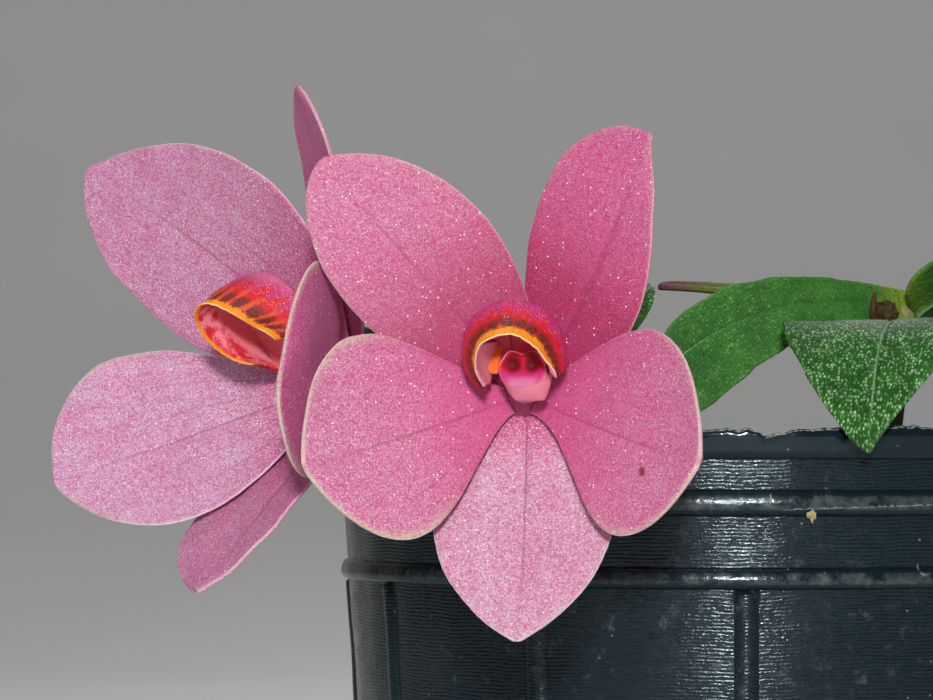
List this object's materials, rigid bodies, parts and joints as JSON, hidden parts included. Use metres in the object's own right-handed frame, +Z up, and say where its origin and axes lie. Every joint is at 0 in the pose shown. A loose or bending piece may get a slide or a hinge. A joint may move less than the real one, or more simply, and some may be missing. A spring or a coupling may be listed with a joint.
{
  "type": "potted dendrobium orchid",
  "caption": "Small pink dendrobium orchid with leafy canes and open flowers, growing in moss in a round thin-walled nursery pot with a beaded rim and ribbed wall.",
  "frame": {"origin": "centre of the underside of the pot's foot, on the surface the pot stands on", "axes": "+Z up along the pot's axis, -Y towards the side that the front flower faces"},
  "size_m": [0.1168, 0.1073, 0.1019],
  "materials": {
    "pot_plastic": "thin blue-black nursery-pot plastic, satin gloss with fine moulding ripples",
    "moss_fibre": "dull long-fibred moss",
    "foliage": "dark green, finely warty, satin",
    "petal": "pink with fine sparkling granules, satin",
    "lip": "red with an orange edge and maroon spots, waxy",
    "column": "crimson and pale pink, waxy",
    "stalk": "pinkish green-brown, satin"
  },
  "bodies": {
    "root": {"pot": "pot_plastic", "moss": "moss_fibre", "leafy_stem_1": "foliage", "leafy_stem_2": "foliage", "leafy_stem_3": "foliage", "leafy_stem_4": "foliage", "leafy_stem_5": "foliage", "leafy_stem_6": "foliage", "leafy_stem_7": "foliage", "leafy_stem_8": "foliage", "front_flower_tepals": "petal", "front_flower_lip": "lip", "front_flower_column": "column", "front_flower_stalk": "stalk", "left_flower_tepals": "petal", "left_flower_lip": "lip", "left_flower_column": "column", "left_flower_stalk": "stalk"}
  },
  "joints": []
}
